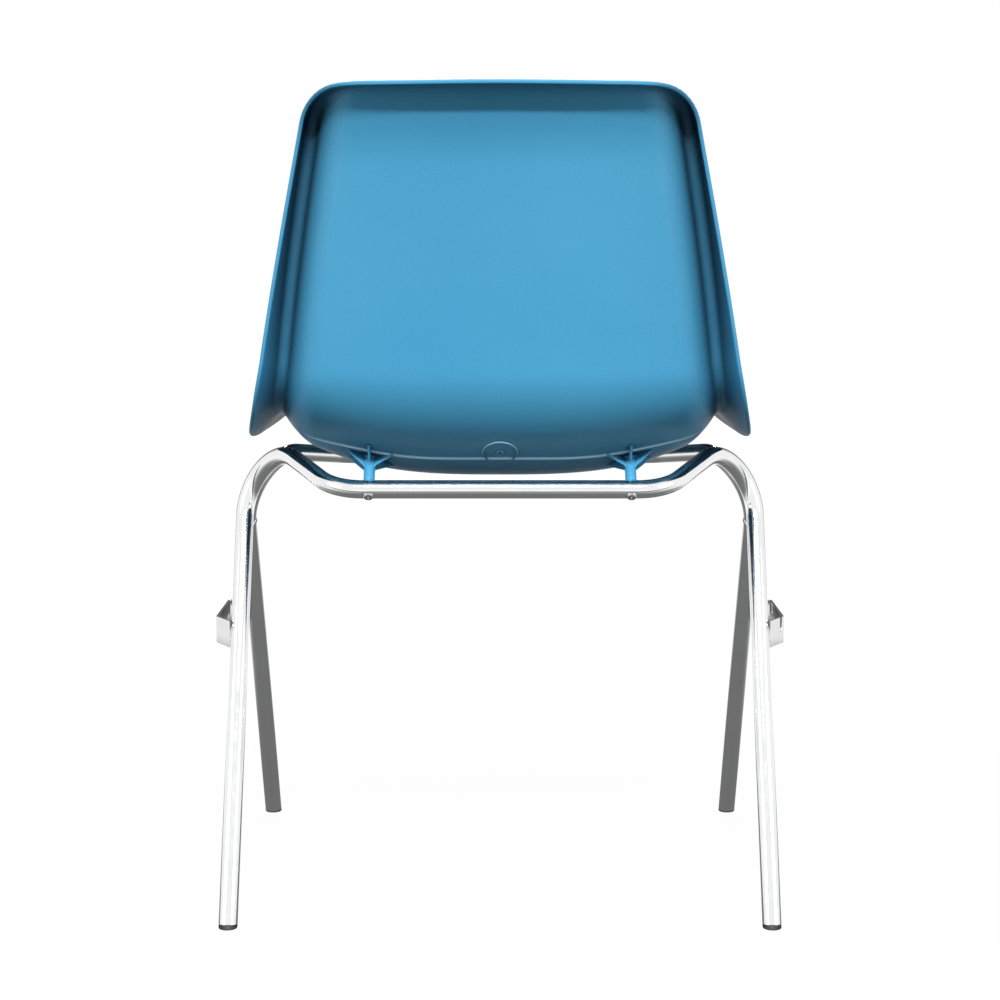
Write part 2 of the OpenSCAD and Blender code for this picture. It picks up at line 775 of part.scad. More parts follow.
// A plug: a cap that carries the tube's sloping end and a stem up its bore.
// half is the tube's line and side is 1 for a rear leg, -1 for a front one.
module foot_plug(half, side) {
    axis = unit(half[1] - half[0]);
    foot = half[0];
    stem_r = tube_r - tube_wall - stem_gap;
    color("dimgray") placed()
        difference() {
            union() {
                intersection() {
                    bar(foot - axis * tube_d, foot + axis * tube_d, tube_r);
                    below_tube_end(foot, side);
                }
                bar(foot, foot + axis * (stem_length + sole_t), stem_r);
            }
            translate([foot[0] - far / 2, foot[1] - far / 2, -far])
                cube([far, far, far]);
        }
}
module foot_plug_rear_left() foot_plug(rear_half, 1);
module foot_plug_rear_right() mirror([1, 0, 0]) foot_plug(rear_half, 1);
module foot_plug_front_left() foot_plug(front_half, -1);
module foot_plug_front_right() mirror([1, 0, 0]) foot_plug(front_half, -1);

// A pan-head screw with a cross recess, from under the rail into the boss
module screw(x, rail_y, rail_z) {
    recess_w = head_d / 7;
    recess_l = head_d / 2;
    recess_depth = head_h * 0.6;
    edge_h = head_h * 0.45;
    color("gainsboro") placed()
        on_rail(x, rail_y, rail_z)
            translate([0, 0, -head_room()]) {
                difference() {
                    union() {
                        cylinder(h = screw_length, d = screw_d);
                        rotate_extrude()
                            polygon([
                                [0, 0], [head_d / 2, 0], [head_d / 2, -edge_h],
                                [head_d * 0.42, -head_h * 0.8],
                                [head_d * 0.28, -head_h], [0, -head_h]
                            ]);
                    }
                    for (turn = [0, 90])
                        rotate([0, 0, turn])
                            translate([-recess_l / 2, -recess_w / 2, -head_h - past])
                                cube([recess_l, recess_w, recess_depth + past]);
                }
            }
}
module screw_rear_left() screw(screw_x, rear_rail_back, rear_rail_z);
module screw_rear_right() screw(-screw_x, rear_rail_back, rear_rail_z);
module screw_front_left() screw(screw_x, -front_rail_ahead, front_rail_z);
module screw_front_right() screw(-screw_x, -front_rail_ahead, front_rail_z);

shell();
rear_frame_tube();
front_frame_tube();
arch_weld_left();
arch_weld_right();
link_bracket_left();
link_bracket_right();
foot_plug_rear_left();
foot_plug_rear_right();
foot_plug_front_left();
foot_plug_front_right();
screw_rear_left();
screw_rear_right();
screw_front_left();
screw_front_right();
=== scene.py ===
import math

import bpy
import numpy as np
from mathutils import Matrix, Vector


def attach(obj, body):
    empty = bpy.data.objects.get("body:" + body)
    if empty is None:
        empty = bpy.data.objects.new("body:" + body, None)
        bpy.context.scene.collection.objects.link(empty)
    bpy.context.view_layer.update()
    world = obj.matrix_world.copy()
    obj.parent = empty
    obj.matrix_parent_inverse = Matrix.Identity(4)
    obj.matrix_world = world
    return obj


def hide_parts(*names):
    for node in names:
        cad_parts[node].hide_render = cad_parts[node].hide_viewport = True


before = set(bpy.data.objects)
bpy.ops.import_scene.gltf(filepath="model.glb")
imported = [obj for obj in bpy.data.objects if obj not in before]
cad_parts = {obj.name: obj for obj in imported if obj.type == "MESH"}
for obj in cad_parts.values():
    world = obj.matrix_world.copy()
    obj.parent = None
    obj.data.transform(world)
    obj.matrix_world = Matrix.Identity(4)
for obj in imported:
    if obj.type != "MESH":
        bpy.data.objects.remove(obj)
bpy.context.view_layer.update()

# Frame tubes: each line runs along half of a tube's axis, from its foot over the corner
# of its arch to the corner of its rail
TUBE_R = 9.0
TUBE_WALL = 1.5
BEND_R = 50.0
LEG_X = 259.0
RAIL_X = 161.0
REAR_LINE = [(LEG_X, 208.0, 0.0), (LEG_X, -30.692, 462.0), (RAIL_X, 118.0, 410.0)]
FRONT_LINE = [(LEG_X, -252.0, 0.0), (LEG_X, 31.442, 441.0), (RAIL_X, -130.0, 420.0)]
SCREW_X = 127.438
DRAW_ANGLE = math.radians(45)
SOLE = 3.3
END_TILT = math.radians(10)
STEM = 22.0

# Shift towards the back that centres the chair's plan on its origin
PLACE_Y = 14.11

# Shell outline and section: a fade is a distance along the shell over which a shape
# changes, and WING_START and WING_END are where the wide flange starts and ends
SEAT_UNDER_Z = 416.5
SEAT_FRONT = 256.0
SEAT_SLOPE = math.radians(5.4)
LUMBAR_R = 135.0
BACK_TOP = np.array([221.0, 785.0])
BACK_LEAN = math.radians(12)
FRONT_W, WING_W, TOP_W = 380.0, 428.0, 322.0
WING_AT, WING_ROUND, SIDE_BOW = 330.0, 2.0, 1.5
FRONT_CORNER, TOP_CORNER = 55.0, 38.0
TOP_CROWN, CROWN_FADE = 5.0, 120.0
SHELL_T = 4.0
SEAT_DISH, FRONT_DISH, BACK_DISH = 45.0, 0.35, 20.0
SEAT_UPTURN, FRONT_UPTURN, BACK_UPTURN, UPTURN_W = 14.0, 0.3, 24.0, 32.0
SEAT_FADE = 180.0
TOP_CURL, TOP_CURL_W = 12.0, 70.0
ROLL_R, FRONT_ROLL_R, ROLL_FADE = 7.0, 15.0, 120.0
FLANGE_DOWN, WING_DOWN = math.radians(80), math.radians(42)
FLANGE, WING_FLANGE = 10.0, 32.0
WING_START, WING_END = 60.0, 40.0


# Small maths

def unit(v):
    """v divided by its length, along the last axis."""
    v = np.asarray(v, float)
    return v / np.linalg.norm(v, axis=-1, keepdims=True)


def mix(a, b, share):
    """a plus share of the way from a to b."""
    return a + (b - a) * share


def smooth(v):
    """3 v^2 - 2 v^3, with v kept between 0 and 1."""
    c = np.clip(v, 0, 1)
    return c * c * (3 - 2 * c)


# Meshes

class Pieces:
    """Points and faces of one object, gathered part by part."""

    def __init__(self):
        self.points = []
        self.quads = []
        self.tris = []
        self.worn = []
        self.count = 0

    def add(self, points, quads, tris=None, worn=None):
        """Adds a closed part, turned so that the volume it encloses is positive. The painted highlight
        share is how far each point is painted pale as a highlight, from 0 to 1."""
        points = np.asarray(points, float).reshape(-1, 3)
        tris = np.zeros((0, 3), int) if tris is None else np.asarray(tris)
        flat = np.concatenate([quads[:, [0, 1, 2]], quads[:, [0, 2, 3]], tris])
        p, q, r = (points[flat[:, k]] for k in range(3))
        if np.einsum("ij,ij->", p, np.cross(q, r)) < 0:
            quads = quads[:, ::-1]
            tris = tris[:, ::-1]
        self.points.append(points)
        self.worn.append(np.zeros(len(points)) if worn is None else worn.ravel())
        self.quads.append(quads + self.count)
        self.tris.append(tris + self.count)
        self.count += len(points)


def grid_quads(rows, cols, close_rows=False, close_cols=False):
    """Four-sided faces of a grid of points numbered row by row."""
    i = np.arange(rows if close_rows else rows - 1)
    j = np.arange(cols if close_cols else cols - 1)
    i, j = (k.ravel() for k in np.meshgrid(i, j, indexing="ij"))
    ni = (i + 1) % rows
    nj = (j + 1) % cols
    return np.stack([i * cols + j, i * cols + nj, ni * cols + nj, ni * cols + j], -1)


def add_capped(pieces, rings):
    """Adds closed rings, shape (rings, points, 3), with a centre point at each end."""
    rows, cols = rings.shape[:2]
    points = np.concatenate([rings.reshape(-1, 3), rings[[0, -1]].mean(1)])
    j = np.arange(cols)
    nj = (j + 1) % cols
    first = np.stack([0 * j + rows * cols, nj, j], -1)
    base = (rows - 1) * cols
    last = np.stack([0 * j + rows * cols + 1, base + j, base + nj], -1)
    pieces.add(points, grid_quads(rows, cols, close_cols=True), np.concatenate([first, last]))


def to_object(pieces, name, material, node, sharp=35):
    """Writes the gathered parts as one object in metres that stands for a node."""
    points = np.concatenate(pieces.points)
    points = (points + [0, PLACE_Y, 0]) / 1000
    quads = np.concatenate(pieces.quads)
    tris = np.concatenate(pieces.tris)
    mesh = bpy.data.meshes.new(name)
    mesh.vertices.add(len(points))
    mesh.vertices.foreach_set("co", points.astype(np.float32).ravel())
    corners = np.concatenate([quads.ravel(), tris.ravel()]).astype(np.int32)
    sizes = np.concatenate([np.full(len(quads), 4), np.full(len(tris), 3)])
    starts = np.concatenate([[0], np.cumsum(sizes)[:-1]])
    mesh.loops.add(len(corners))
    mesh.loops.foreach_set("vertex_index", corners)
    mesh.polygons.add(len(sizes))
    mesh.polygons.foreach_set("loop_start", starts.astype(np.int32))
    mesh.polygons.foreach_set("use_smooth", np.ones(len(sizes), bool))
    mesh.update(calc_edges=True)
    mesh.validate()
    mesh.set_sharp_from_angle(angle=math.radians(sharp))
    # Share of each point painted pale as a highlight, kept as a point attribute for the material
    worn = np.concatenate(pieces.worn).astype(np.float32)
    if worn.any():
        mesh.attributes.new("worn", "FLOAT", "POINT").data.foreach_set("value", worn)
    mesh.materials.append(material)
    piece = bpy.data.objects.new(name, mesh)
    bpy.context.scene.collection.objects.link(piece)
    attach(piece, "root")
    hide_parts(node)
    return piece


# Shell surface: b runs along the middle from the front edge to the top edge, and a
# runs sideways

ARC_MIDDLE = np.array([
    BACK_TOP[0] - (BACK_TOP[1] - SEAT_UNDER_Z - LUMBAR_R) * math.tan(BACK_LEAN)
    - LUMBAR_R / math.cos(BACK_LEAN),
    SEAT_UNDER_Z + LUMBAR_R,
])
SEAT_END = ARC_MIDDLE - LUMBAR_R * np.array([math.sin(SEAT_SLOPE), math.cos(SEAT_SLOPE)])
BACK_START = ARC_MIDDLE + LUMBAR_R * np.array([math.cos(BACK_LEAN), -math.sin(BACK_LEAN)])
TURN = math.pi / 2 - BACK_LEAN + SEAT_SLOPE
SEAT_LENGTH = (SEAT_END[0] + SEAT_FRONT) / math.cos(SEAT_SLOPE)
ARC_LENGTH = LUMBAR_R * TURN
LENGTH = SEAT_LENGTH + ARC_LENGTH + float(np.linalg.norm(BACK_TOP - BACK_START))


def slope_at(b):
    """Slope of the middle line: level less the seat's slope, turning evenly on the arc."""
    return -SEAT_SLOPE + np.clip((b - SEAT_LENGTH) / ARC_LENGTH, 0, 1) * TURN


def profile(b):
    """Middle line: straight seat, arc of LUMBAR_R about ARC_MIDDLE, straight back."""
    slope = slope_at(b)
    normal = np.stack([-np.sin(slope), np.cos(slope)], -1)
    along_seat = np.array([math.cos(SEAT_SLOPE), -math.sin(SEAT_SLOPE)])
    along_back = np.array([math.sin(BACK_LEAN), math.cos(BACK_LEAN)])
    seat = SEAT_END - along_seat * (SEAT_LENGTH - b)[..., None]
    back = BACK_START + along_back * (b - SEAT_LENGTH - ARC_LENGTH)[..., None]
    arc = ARC_MIDDLE - LUMBAR_R * normal
    on_seat = (b < SEAT_LENGTH)[..., None]
    past_arc = (b > SEAT_LENGTH + ARC_LENGTH)[..., None]
    return np.where(on_seat, seat, np.where(past_arc, back, arc)), normal


def half_width(b):
    """Lesser of a straight taper up to the wings and a bowed one above them, rounded."""
    up_back = (b - WING_AT) / (LENGTH - WING_AT)
    bowed = np.where(up_back < 0, up_back, np.abs(up_back) ** SIDE_BOW)
    rising = mix(FRONT_W, WING_W, b / WING_AT) / 2
    falling = mix(WING_W, TOP_W, bowed) / 2
    gap = rising - falling
    return (rising + falling - np.sqrt(gap * gap + 4 * WING_ROUND ** 2)) / 2


def side_rise(a, b):
    """Dish that grows with the cube of a, plus a squared upturn at the sides, less a squared
    curl at the top."""
    width = half_width(b)
    on_back = smooth((b - SEAT_LENGTH) / ARC_LENGTH)
    fade = smooth(b / SEAT_FADE)
    dish = mix(SEAT_DISH * mix(FRONT_DISH, 1, fade), BACK_DISH, on_back)
    upturn = mix(SEAT_UPTURN * mix(FRONT_UPTURN, 1, fade), BACK_UPTURN, on_back)
    near_side = np.clip((np.abs(a) - (width - UPTURN_W)) / UPTURN_W, 0, 1)
    near_top = np.clip((b - (LENGTH - TOP_CURL_W)) / TOP_CURL_W, 0, 1)
    return dish * (np.abs(a) / width) ** 3 + upturn * near_side ** 2 - TOP_CURL * near_top ** 2


def crowned(a, b):
    """b pushed up in the middle of the top edge by a parabola across the width."""
    crown = 1 - (a / half_width(b)) ** 2
    return b + TOP_CROWN * crown * smooth((b - LENGTH + CROWN_FADE) / CROWN_FADE)


def surface(a, b):
    """Outer face of the shell: the middle line moved square to itself by side_rise."""
    point, normal = profile(crowned(a, b))
    lifted = point + normal * side_rise(a, b)[..., None]
    return np.concatenate([a[..., None], lifted], -1)


def surface_normal(a, b):
    """Unit vector to the sitter's side, from differences half a millimetre each way."""
    across = surface(a + 0.5, b) - surface(a - 0.5, b)
    along = surface(a, b + 0.5) - surface(a, b - 0.5)
    return unit(np.cross(across, along))


# The step moulded across the lower back, as places (a, b) from the middle outwards, with its depth, the
# run of its slope, where it dies out, and the painted highlight line along its edge
CREASE_A = np.array([0, 39, 68, 92, 114, 142, 161, 180, 189, 198, 215.0])
CREASE_B = np.array([370, 369.5, 368.3, 368.6, 370.5, 373.6, 374, 372.6, 371, 367, 360.0])
CREASE_MID = 370.0
CREASE_STEP, CREASE_RUN, CREASE_FADE = 1.6, 1.9, 110.0
CREASE_END = 206.0
PAINTED_HIGHLIGHT_AT, PAINTED_HIGHLIGHT_W = -1.2, 1.1


def crease_b(a):
    """Height along the shell of the step, a smoothed run through the places above."""
    spread = np.array([-12.0, -6.0, 0.0, 6.0, 12.0])
    weight = np.array([1, 2, 3, 2, 1.0]) / 9
    return np.interp(np.abs(np.abs(a)[..., None] + spread), CREASE_A, CREASE_B) @ weight


def crease_inset(a, b):
    """Depth of the outer face above the step: full at the step, gone CREASE_FADE up."""
    above = b - crease_b(a)
    edge = np.clip(above / CREASE_RUN + 1, 0, 1)
    side = smooth((CREASE_END - np.abs(a)) / 16)
    return CREASE_STEP * edge * side * (1 - smooth(above / CREASE_FADE))


# The gate ring and its dot, each as (radius, half width, height)
GATE_B = 379.5
GATE_BEADS = ((17.0, 1.0, 1.1), (2.6, 1.1, 1.2))

# Rows and columns of the shell's mesh: the keys are shares of the half width
CORNER_ROWS = 14
COLUMN_KEYS = [0, 0.16, 0.32, 0.47, 0.6, 0.71, 0.8, 0.87, 0.92, 0.96, 1]
COLUMNS_PER_KEY = 6


def shell_rows():
    """Rows as (b, narrowing, outward a, outward b): corner arcs and straight sides."""
    quarter = np.linspace(0, math.pi / 2, CORNER_ROWS)
    low = np.stack([FRONT_CORNER * (1 - np.cos(quarter)), FRONT_CORNER * (1 - np.sin(quarter)),
                    np.sin(quarter), -np.cos(quarter)], -1)
    step = CREASE_MID + np.array([-4, -2.4, -1.9, -1.6, -0.9, -0.2, 0.1, 0.8, 2.5, 5])
    below = np.linspace(FRONT_CORNER, step[0], 74)[1:-1]
    above = np.linspace(step[-1], LENGTH - TOP_CORNER, 84)[1:-1]
    b = np.concatenate([below, step, above])
    sides = np.stack([b, 0 * b, 1 + 0 * b, 0 * b], -1)
    quarter = quarter[::-1]
    high = np.stack([LENGTH - TOP_CORNER * (1 - np.cos(quarter)),
                     TOP_CORNER * (1 - np.sin(quarter)), np.sin(quarter), np.cos(quarter)], -1)
    return np.concatenate([low, sides, high])


def rim(a, b, outward_a, outward_b, roll, run, offset):
    """Rolled edge and flange: an arc of the roll's radius, carried on for run of the
    flange's length, and moved by offset square to itself."""
    slope = slope_at(crowned(a, b))
    out = np.stack([outward_a, outward_b * np.cos(slope), outward_b * np.sin(slope)], -1)
    up = np.stack([0 * a, -np.sin(slope), np.cos(slope)], -1)
    climb = np.arctan((side_rise(a, b) - side_rise(a - outward_a / 2, b - outward_b / 2)) * 2)
    rising = smooth((b - WING_START) / (WING_AT - WING_START))
    falling = 1 - np.clip((b - WING_AT) / (LENGTH - WING_END - WING_AT), 0, 1)
    wing = np.where(b < WING_AT, rising, falling) * np.abs(outward_a)
    down = mix(FLANGE_DOWN, WING_DOWN, wing)
    flange = mix(FLANGE, WING_FLANGE, wing)
    radius = mix(FRONT_ROLL_R, ROLL_R, smooth(b / ROLL_FADE))
    angle = climb - (climb + down) * roll
    point = surface(a, b)
    point = point + (radius * (np.sin(climb) - np.sin(angle)))[:, None] * out
    point = point + (radius * (np.cos(angle) - np.cos(climb)))[:, None] * up
    along = np.cos(angle)[:, None] * out + np.sin(angle)[:, None] * up
    across = np.cos(angle)[:, None] * up - np.sin(angle)[:, None] * out
    return point + (flange * run)[:, None] * along + offset * across, along, across


def add_skin(pieces):
    """The shell's two faces over the grid of rows and columns, its rolled edge and
    flange all round, and a lip with rounded corners that joins the faces."""
    rows = shell_rows()
    keys = np.arange(len(COLUMN_KEYS))
    half = np.interp(np.linspace(0, keys[-1], keys[-1] * COLUMNS_PER_KEY + 1), keys, COLUMN_KEYS)
    share = np.concatenate([-half[:0:-1], half])
    nr, nc = len(rows), len(share)
    width = half_width(rows[:, 0]) - rows[:, 1]
    a = width[:, None] * share
    b = np.repeat(rows[:, :1], nc, 1)
    warp = smooth(1 - np.abs(b - CREASE_MID) / 70)
    b = b + (crease_b(a) - CREASE_MID) * warp * smooth((CREASE_END - np.abs(a)) / 40)
    normal = surface_normal(a, b)
    base = surface(a, b)
    outer = base + normal * crease_inset(a, b)[..., None]
    inner = base + normal * SHELL_T

    taper = (half_width(rows[:, 0] + 1) - half_width(rows[:, 0] - 1)) / 2
    facing = unit(np.stack([rows[:, 2], rows[:, 3] - taper * rows[:, 2]], -1))
    i = np.concatenate([np.zeros(nc), np.arange(1, nr), np.full(nc - 1, nr - 1),
                        np.arange(nr - 2, 0, -1)]).astype(int)
    j = np.concatenate([np.arange(nc), np.full(nr - 1, nc - 1), np.arange(nc - 2, -1, -1),
                        np.zeros(nr - 2)]).astype(int)
    at_side = (j == 0) | (j == nc - 1)
    out_a = np.where(at_side, np.where(j == 0, -1, 1) * facing[i, 0], 0)
    out_b = np.where(at_side, facing[i, 1], np.where(i == 0, -1, 1))
    edge_a, edge_b = a[i, j], rows[i, 0]

    rounding = 1.3
    flat = np.ones(len(i))
    steps = []
    for roll in np.linspace(0, 1, 13)[1:]:
        steps.append((roll, 0))
    for run in (0.15, 0.3, 0.5, 0.7, 0.85):
        steps.append((1, run))
    rings = [[], []]
    for side, offset in enumerate((0, SHELL_T)):
        for roll, run in steps:
            rings[side].append(rim(edge_a, edge_b, out_a, out_b, roll, run * flat, offset)[0])
    tip, along, across = rim(edge_a, edge_b, out_a, out_b, 1, flat, 0)
    lip = []
    for turn in np.radians([0, 30, 60, 90]):
        lip.append(tip + along * rounding * (math.sin(turn) - 1)
                   + across * rounding * (1 - math.cos(turn)))
    for turn in np.radians([90, 60, 30, 0]):
        lip.append(tip + along * rounding * (math.sin(turn) - 1)
                   + across * (SHELL_T - rounding * (1 - math.cos(turn))))
    loops = rings[0] + lip + rings[1][::-1]
    loop_count = len(i)
    points = np.concatenate([outer.reshape(-1, 3), inner.reshape(-1, 3)] + loops)
    edge = i * nc + j
    ring_index = [edge] + [2 * nr * nc + k * loop_count + np.arange(loop_count)
                           for k in range(len(loops))] + [nr * nc + edge]
    sheet = grid_quads(nr, nc)
    faces = [sheet, sheet[:, ::-1] + nr * nc]
    for here, there in zip(ring_index[:-1], ring_index[1:]):
        faces.append(np.stack([np.roll(here, -1), here, there, np.roll(there, -1)], -1))
    worn = np.zeros(len(points))
    # Painted highlight: a pale band along the step's lower edge, fading out towards the sides
    highlight_band = np.exp(-((b - crease_b(a) - PAINTED_HIGHLIGHT_AT) / PAINTED_HIGHLIGHT_W) ** 2)
    worn[:nr * nc] = (highlight_band * smooth((CREASE_END - np.abs(a)) / 30)).ravel()
    pieces.add(points, np.concatenate(faces), worn=worn)


def add_gate_ring(pieces):
    """A thin round bead on the outer face, and a small raised dot in its middle: each is
    a low ellipse, half sunk, carried round a circle in the a, b plane."""
    for radius, half, height in GATE_BEADS:
        round_it = np.linspace(0, 2 * math.pi, 96, endpoint=False)
        section = np.linspace(0, 2 * math.pi, 12, endpoint=False)
        turn, ring = np.meshgrid(section, round_it)
        r = radius + half * np.cos(turn)
        a = r * np.cos(ring)
        b = GATE_B + r * np.sin(ring)
        lift = crease_inset(a, b) - height * np.sin(turn)
        points = surface(a, b) + surface_normal(a, b) * lift[..., None]
        # Painted highlight: paler on the crest of each bead, most on its upper half
        worn = 0.4 * np.clip(np.sin(turn), 0, 1) * smooth((np.sin(ring) + 0.5) / 0.9)
        pieces.add(points, grid_quads(96, 12, True, True), worn=worn)


# Bosses and ribs, in the frame of a screw: height runs up the screw's axis from the
# middle of the rail, leaning forward as it rises

UP = np.array([0, -math.sin(DRAW_ANGLE), math.cos(DRAW_ANGLE)])
ACROSS = np.array([0, math.cos(DRAW_ANGLE), math.sin(DRAW_ANGLE)])
SADDLE_GAP = 0.3
BOSS_R = 5.5
RIB_REACH = 27.0
RIB_ROOT = 14.0


def shell_height(base, x, t):
    """Height of the shell's outer face over the rail at x along and t across, found by
    halving the range of b until its distance across the axis is t."""
    low = np.zeros(np.broadcast(x, t).shape)
    high = low + LENGTH
    side = base[0] + x + low
    for _ in range(26):
        middle = (low + high) / 2
        short = (surface(side, middle) - [0, base[1], base[2]]) @ ACROSS < t
        low = np.where(short, middle, low)
        high = np.where(short, high, middle)
    return (surface(side, middle) - [0, base[1], base[2]]) @ UP


def place_over_rail(base, x, t, height):
    """Points from their distance along the rail, across the axis and up it."""
    side = base[0] + x + 0 * height
    return np.stack([side, 0 * side, 0 * side], -1) + [0, base[1], base[2]] \
        + (t + 0 * height)[..., None] * ACROSS + height[..., None] * UP


def add_boss(pieces, base):
    """A post that ends in a saddle over the round rail and flares into the shell: its
    radius grows by a quarter circle of 2.5 mm just under the shell."""
    round_it = np.linspace(0, 2 * math.pi, 72, endpoint=False)
    saddle_r = TUBE_R + SADDLE_GAP
    radii = [2.65, 2.65, 3.6, 4.6, 5.1, 5.35, 5.5, 5.5]
    lift = [9.0, 0.0, 0.0, 0.0, 0.1, 0.35, 0.8, 4.0]
    rings = []
    for radius, above in zip(radii, lift):
        x, t = radius * np.cos(round_it), radius * np.sin(round_it)
        rings.append(place_over_rail(base, x, t, np.sqrt(saddle_r ** 2 - t * t) + above))
    flare = 2.5
    for turn in np.radians([0, 15, 30, 45, 60, 75, 90]):
        radius = BOSS_R + flare * (1 - math.cos(turn))
        x, t = radius * np.cos(round_it), radius * np.sin(round_it)
        height = shell_height(base, x, t) - flare * (1 - math.sin(turn))
        rings.append(place_over_rail(base, x, t, height))
    rings.append(place_over_rail(base, x, t, shell_height(base, x, t) + SHELL_T / 2))
    add_capped(pieces, np.array(rings))


def add_rib(pieces, base, direction):
    """A thin plate out from the boss: it thickens towards the shell, its free edge is
    round, and it flares where it meets the shell."""
    reach = np.concatenate([[0, 3], np.linspace(5, RIB_REACH, 26)])
    foot = shell_height(base, np.zeros(1), np.zeros(1))[0] - RIB_ROOT
    cos, sin = math.cos(direction), math.sin(direction)
    tip = shell_height(base, np.array([RIB_REACH * cos]), np.array([RIB_REACH * sin]))[0]
    free = np.interp(reach, [0, BOSS_R, BOSS_R + 2, RIB_REACH], [foot, foot, foot + 2, tip])
    edge_r = 0.95
    turn = np.linspace(0, math.pi, 9)
    across = np.concatenate([[1.9, 1.5, 1.25], edge_r * np.cos(turn), [-1.25, -1.5, -1.9]])
    top = shell_height(base, reach * cos, reach * sin)[:, None]
    room = np.clip(top - free[:, None] - 0.1, 0, None)
    above_top = np.array([0.8, -0.5, -1.6])
    wall = top + np.where(above_top > 0, above_top, np.maximum(above_top, -room))
    edge = free[:, None] + np.minimum(edge_r * (1 - np.sin(turn)), room)
    height = np.concatenate([wall, edge, wall[:, ::-1]], 1)
    x = reach[:, None] * cos - across * sin
    t = reach[:, None] * sin + across * cos
    add_capped(pieces, place_over_rail(base, x, t, height))


# Bent tubes

def tube_path(line):
    """Axis of a whole tube from foot to foot: straights joined by arcs about centres on
    the inside of each corner, then the same mirrored."""
    corners = [np.array(p) for p in line]
    rail_y, rail_z = line[2][1:]
    corners.append(np.array([0.0, rail_y, rail_z]))
    parts = []
    start = corners[0]
    for k in (1, 2):
        before = unit(corners[k] - corners[k - 1])
        after = unit(corners[k + 1] - corners[k])
        turn = math.acos(before @ after)
        cut = BEND_R * math.tan(turn / 2)
        inward = unit(after - (after @ before) * before)
        arc_start = corners[k] - before * cut
        count = 46 if k == 1 else 10
        share = np.linspace(0, 1, count, endpoint=False)[:, None]
        if k == 1:
            share = share + 0.03 * (1 - share)
        parts.append(mix(start, arc_start, share))
        centre = arc_start + inward * BEND_R
        w = np.linspace(0, turn, 44)[:-1, None]
        parts.append(centre - inward * BEND_R * np.cos(w) + before * BEND_R * np.sin(w))
        start = corners[k] + after * cut
    near_screw = np.linspace(start[0], SCREW_X - 7, 36)
    middle = np.linspace(SCREW_X - 7, 0, 20)[1:]
    rail = np.concatenate([near_screw, middle])
    parts.append(np.stack([rail, 0 * rail + rail_y, 0 * rail + rail_z], -1))
    half = np.concatenate(parts)
    other = half[-2::-1] * [-1, 1, 1]
    return np.concatenate([half, other])


def cut_to_end(ring, axis, foot, side, height=SOLE):
    """Slides a ring's points along the leg onto the sloping plane of the tube's end."""
    normal = np.array([0, -side * math.sin(END_TILT), math.cos(END_TILT)])
    gap = (ring - foot - [0, 0, height]) @ normal / (axis @ normal)
    return ring - gap[:, None] * axis


def add_tube(pieces, line, side):
    """Rings of the tube's radius square to the axis, pressed flat under the screws'
    heads, cut at both ends, and carried back inside as the bore."""
    path = tube_path(line)
    tangent = unit(np.gradient(path, axis=0))
    count = 96
    ang = np.linspace(0, 2 * math.pi, count, endpoint=False)
    steady = np.array([0, 0.5, math.sqrt(0.75)])
    one = unit(steady - (tangent @ steady)[:, None] * tangent)
    two = np.cross(tangent, one)
    spoke = np.cos(ang)[None, :, None] * one[:, None] + np.sin(ang)[None, :, None] * two[:, None]
    outer = path[:, None] + TUBE_R * spoke
    for x in (-SCREW_X, SCREW_X):
        rel = outer - [x, line[2][1], line[2][2]]
        depth = rel @ UP
        beside = np.linalg.norm(rel - depth[..., None] * UP, axis=-1)
        sink = np.where((beside < 5.3) & (depth < -8), -8 - depth, 0)
        outer = outer + sink[..., None] * UP
    kept = np.arange(0, len(path), 3)
    kept = np.append(kept[kept < len(path) - 1], len(path) - 1)
    bore = path[kept][:, None] + (TUBE_R - TUBE_WALL) * spoke[kept]
    feet = [np.array(line[0]), np.array(line[0]) * [-1, 1, 1]]
    ends = []
    for end, foot in ((0, feet[0]), (-1, feet[1])):
        axis = tangent[end] if end == 0 else -tangent[end]
        rims = []
        for radius, lift in ((TUBE_R, 0.35), (TUBE_R - 0.35, 0.0),
                             (TUBE_R - TUBE_WALL + 0.25, 0.0), (TUBE_R - TUBE_WALL, 0.25)):
            ring = foot + radius * spoke[end]
            rims.append(cut_to_end(ring, axis, foot, side) + lift * axis)
        ends.append(np.array(rims))
    rings = np.concatenate([ends[0][::-1], outer, ends[1], bore[::-1]])
    pieces.add(rings, grid_quads(len(rings), count, True, True))


def leg_frame(line):
    """Foot, unit axis up the leg and two unit vectors square to it."""
    foot = np.array(line[0])
    axis = unit(np.array(line[1]) - foot)
    one = np.array([1.0, 0, 0])
    return foot, axis, one, np.cross(axis, one)


def add_plug(pieces, line, side):
    """Cap between the tube's sloping end and the floor, and the stem above it: rings
    round the leg's axis, the sole's edge rounded and its face level."""
    foot, axis, one, two = leg_frame(line)
    ang = np.linspace(0, 2 * math.pi, 96, endpoint=False)
    spoke = np.cos(ang)[:, None] * one + np.sin(ang)[:, None] * two
    level = np.array([0, 0, 1.0])

    def on_floor(radius, height):
        ring = foot + radius * spoke
        return ring - ((ring @ level) - height)[:, None] * axis / axis[2]

    rings = [on_floor(r, 0) for r in (3.0, 6.0, TUBE_R - 0.9)]
    rings += [on_floor(TUBE_R - 0.45, 0.12), on_floor(TUBE_R - 0.12, 0.42), on_floor(TUBE_R, 0.9)]
    rings.append(cut_to_end(foot + TUBE_R * spoke, axis, foot, side) - 0.3 * axis)
    rings.append(cut_to_end(foot + (TUBE_R - 0.25) * spoke, axis, foot, side) - 0.06 * axis)
    stem_r = TUBE_R - TUBE_WALL - 0.15
    rings.append(cut_to_end(foot + stem_r * spoke, axis, foot, side) - 0.06 * axis)
    for radius, height in ((stem_r, STEM + SOLE - 1), (stem_r - 1, STEM + SOLE), (2, STEM + SOLE)):
        rings.append(foot + radius * spoke + height * axis)
    add_capped(pieces, np.array(rings))


# Linking brackets: a flat strip bent in plan, with rounded edges

